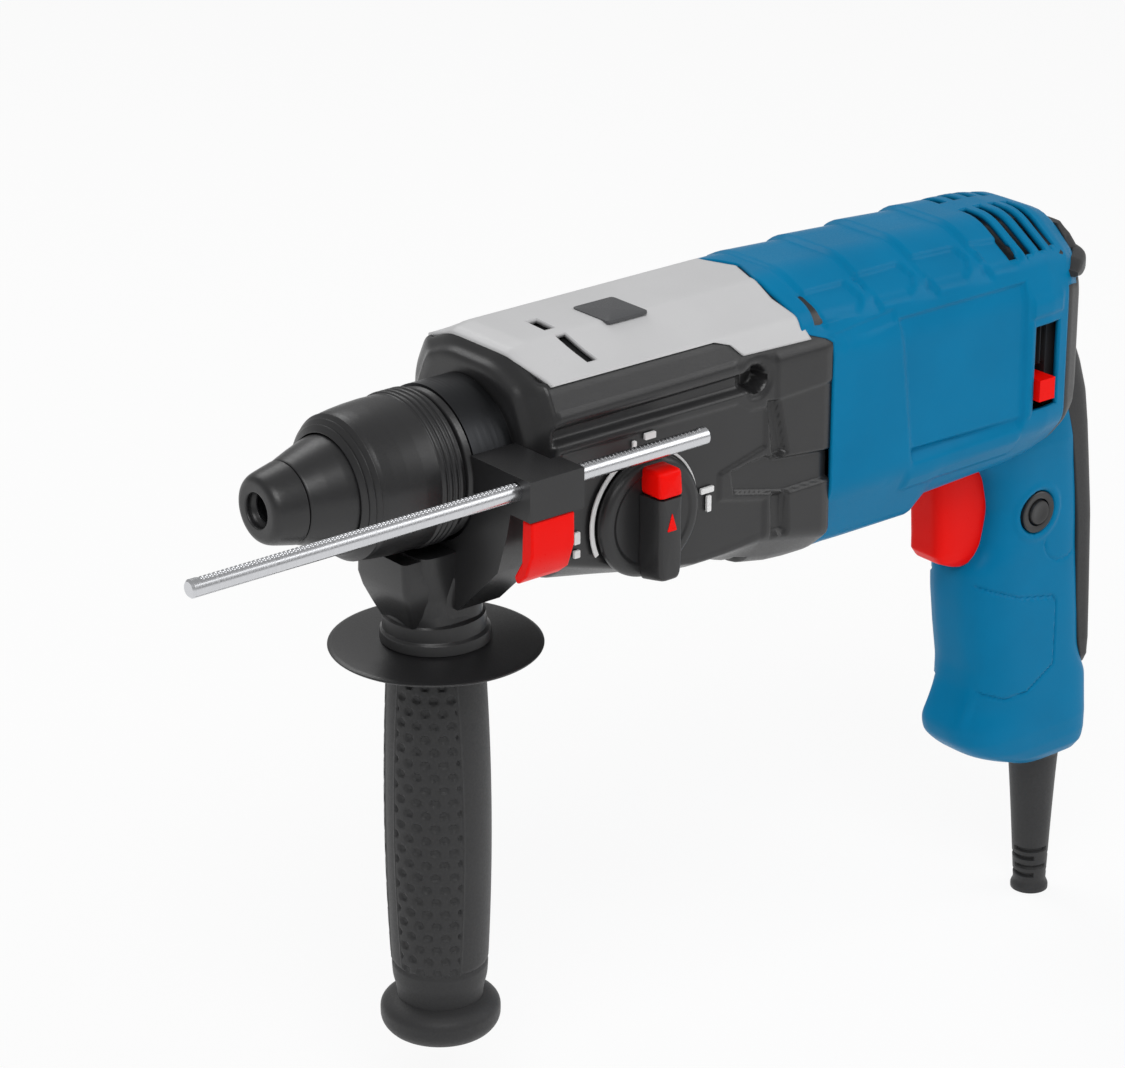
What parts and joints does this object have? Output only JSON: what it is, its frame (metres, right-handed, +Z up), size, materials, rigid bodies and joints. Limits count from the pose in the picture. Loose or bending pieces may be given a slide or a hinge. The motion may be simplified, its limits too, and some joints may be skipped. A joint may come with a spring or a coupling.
{
  "type": "rotary hammer",
  "caption": "Corded rotary hammer with a quick-release chuck, wobble-driven hammer mechanism, mode dial, pistol handle, swivelling side handle and depth rod.",
  "frame": {"origin": "on the spindle axis, at the mouth of the tool bore's plain wall, behind the dust cap", "axes": "+X back along the spindle towards the handle, +Z up, the mode dial and the depth rod on -Y"},
  "size_m": [0.428, 0.0935, 0.2889],
  "materials": {
    "black_plastic": "fine matt grain",
    "blue_plastic": "fine matt grain",
    "grey_cover": "satin",
    "red_plastic": "satin",
    "soft_rubber": "matt",
    "white_print": "flat print",
    "bright_steel": "polished",
    "tool_steel": "ground",
    "dark_steel": "black coated",
    "core_steel": "laminated",
    "copper": "lacquered wire",
    "carbon": "pressed carbon",
    "zinc_steel": "zinc plated"
  },
  "bodies": {
    "housing": {"gear_housing": "black_plastic", "top_cover": "grey_cover", "bearing_plate": "black_plastic", "motor_housing": "blue_plastic", "handle_shell": "blue_plastic", "soft_grip": "soft_rubber", "rubber_element": "soft_rubber", "cord_guard": "soft_rubber", "neck_seal": "soft_rubber", "plate_screw_1": "zinc_steel", "plate_screw_2": "zinc_steel", "plate_screw_3": "zinc_steel", "plate_screw_4": "zinc_steel", "spindle_bearing": "tool_steel", "motor_front_bearing": "tool_steel", "motor_rear_bearing": "tool_steel", "bearing_bracket": "black_plastic", "shaft_front_bearing": "tool_steel", "stator_core": "core_steel", "dial_marks": "white_print", "switch_module": "black_plastic"},
    "spindle": {"tool_holder": "tool_steel", "dust_cap": "soft_rubber", "change_ring": "black_plastic", "locking_ball_upper": "bright_steel", "locking_ball_lower": "bright_steel", "sleeve_spring": "tool_steel", "spindle_gear": "tool_steel"},
    "locking_sleeve": {"locking_sleeve": "black_plastic"},
    "intermediate": {"intermediate_shaft": "tool_steel", "intermediate_pinion": "tool_steel", "intermediate_gear": "tool_steel"},
    "armature": {"armature_shaft": "tool_steel", "armature_core": "core_steel", "winding_front": "copper", "winding_rear": "copper", "commutator": "copper", "cooling_fan": "black_plastic"},
    "wobble": {"wobble_ring": "tool_steel"},
    "piston": {"piston": "tool_steel"},
    "striker": {"striker": "tool_steel", "striker_seal": "soft_rubber"},
    "impact_bolt": {"impact_bolt": "tool_steel"},
    "mode_dial": {"mode_dial": "black_plastic"},
    "dial_button": {"dial_button": "red_plastic"},
    "direction_ring": {"direction_ring": "red_plastic", "carbon_brush_upper": "carbon", "carbon_brush_lower": "carbon"},
    "trigger": {"trigger": "red_plastic"},
    "lock_button": {"lock_button": "black_plastic"},
    "side_handle": {"clamp_body": "black_plastic", "clamp_strap": "dark_steel", "clamp_bolt": "zinc_steel"},
    "side_grip": {"grip_flange": "black_plastic", "side_grip": "soft_rubber", "grip_nut": "zinc_steel"},
    "depth_rod": {"depth_rod": "bright_steel"},
    "stop_button": {"stop_button": "red_plastic"}
  },
  "joints": [
    {"name": "armature_spin", "type": "hinge", "parent": "housing", "child": "armature", "pos_m": [0.25, 0, -0.01], "axis": [1, 0, 0], "continuous": true},
    {"name": "intermediate_spin", "type": "hinge", "parent": "housing", "child": "intermediate", "pos_m": [0.16, 0, -0.033], "axis": [1, 0, 0], "continuous": true},
    {"name": "spindle_spin", "type": "hinge", "parent": "housing", "child": "spindle", "pos_m": [0, 0, 0], "axis": [1, 0, 0], "continuous": true},
    {"name": "sleeve_slide", "type": "slide", "parent": "spindle", "child": "locking_sleeve", "axis": [1, 0, 0], "range_m": [0, 0.006], "stiffness_N_per_m": 2000, "springref_m": -0.004},
    {"name": "wobble_swing", "type": "hinge", "parent": "housing", "child": "wobble", "pos_m": [0.16, 0, -0.033], "axis": [0, 1, 0], "range_deg": [-12, 12]},
    {"name": "piston_slide", "type": "slide", "parent": "housing", "child": "piston", "axis": [1, 0, 0], "range_m": [-0.0069, 0.0069]},
    {"name": "striker_slide", "type": "slide", "parent": "spindle", "child": "striker", "axis": [1, 0, 0], "range_m": [-0.004, 0.002]},
    {"name": "impact_bolt_slide", "type": "slide", "parent": "spindle", "child": "impact_bolt", "axis": [1, 0, 0], "range_m": [0, 0.005]},
    {"name": "mode_dial_turn", "type": "hinge", "parent": "housing", "child": "mode_dial", "pos_m": [0.1243, -0.037, -0.0222], "axis": [0, 1, 0], "range_deg": [-90, 90]},
    {"name": "dial_button_press", "type": "slide", "parent": "mode_dial", "child": "dial_button", "axis": [0, 0, -1], "range_m": [0, 0.0025], "stiffness_N_per_m": 800, "springref_m": -0.001},
    {"name": "direction_turn", "type": "hinge", "parent": "housing", "child": "direction_ring", "pos_m": [0.3, 0, -0.01], "axis": [1, 0, 0], "range_deg": [-27, 0]},
    {"name": "trigger_pull", "type": "slide", "parent": "housing", "child": "trigger", "axis": [1, 0, 0], "range_m": [0, 0.0065], "stiffness_N_per_m": 1500, "springref_m": -0.003},
    {"name": "lock_button_press", "type": "slide", "parent": "housing", "child": "lock_button", "axis": [0, 1, 0], "range_m": [0, 0.003], "stiffness_N_per_m": 800, "springref_m": -0.001},
    {"name": "side_handle_swivel", "type": "hinge", "parent": "housing", "child": "side_handle", "pos_m": [0.071, 0, 0], "axis": [1, 0, 0], "range_deg": [-180, 0]},
    {"name": "side_grip_twist", "type": "hinge", "parent": "side_handle", "child": "side_grip", "pos_m": [0.066, 0, -0.1], "axis": [0, 0, 1], "range_deg": [-180, 180]},
    {"name": "depth_rod_slide", "type": "slide", "parent": "side_handle", "child": "depth_rod", "axis": [1, 0, 0], "range_m": [-0.045, 0.1]},
    {"name": "stop_button_press", "type": "slide", "parent": "side_handle", "child": "stop_button", "axis": [0, 1, 0], "range_m": [0, 0.003], "stiffness_N_per_m": 800, "springref_m": -0.001}
  ],
  "couplings": [
    {"joint": "intermediate_spin", "follows": "armature_spin", "ratio": -0.25},
    {"joint": "spindle_spin", "follows": "armature_spin", "ratio": 0.125},
    {"joint": "wobble_swing", "follows": "piston_slide", "rad_per_m": 30.303}
  ]
}
